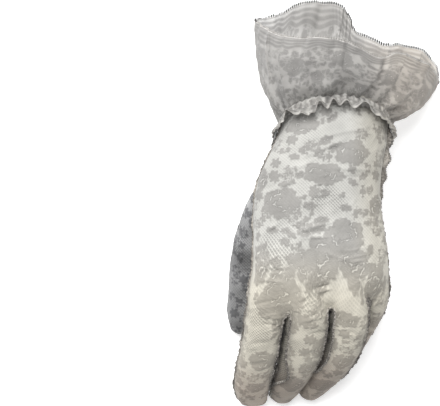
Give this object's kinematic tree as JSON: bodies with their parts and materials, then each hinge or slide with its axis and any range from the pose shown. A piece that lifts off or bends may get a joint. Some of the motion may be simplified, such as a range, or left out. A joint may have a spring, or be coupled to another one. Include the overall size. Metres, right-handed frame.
{
  "type": "lace dress glove",
  "caption": "Wrist-length floral lace glove for a left hand, hollow and in its worn form, with a gathered wrist, a small frill and a wide flared cuff.",
  "frame": {"origin": "middle of the wrist, in the opening where the hand goes in", "axes": "+Y towards the cuff and the arm (the way the hand leaves), -Y towards the fingertips; +Z out of the back of the hand; the thumb is on the -X side"},
  "size_m": [0.1175, 0.2273, 0.0886],
  "materials": {
    "lace_back": "light grey floral lace on a fine diamond net, matt with a faint sheen",
    "lace_palm": "the same lace, in shade",
    "lace_strip": "the same lace, cut as narrow strips",
    "lace_thumb": "the same lace, which looks darker over the thumb",
    "gathered_band": "lace drawn into a narrow gathered band",
    "lace_frill": "gathered lace with a pale scalloped edge",
    "lace_cuff": "see-through floral lace with a corded border and small loops along the rim"
  },
  "bodies": {
    "root": {"back_panel": "lace_back", "palm_panel": "lace_palm", "fourchette_index_middle": "lace_strip", "fourchette_middle_ring": "lace_strip", "fourchette_ring_little": "lace_strip", "thumb": "lace_thumb", "wrist_band": "gathered_band", "wrist_frill": "lace_frill", "flared_cuff": "lace_cuff"}
  },
  "joints": []
}
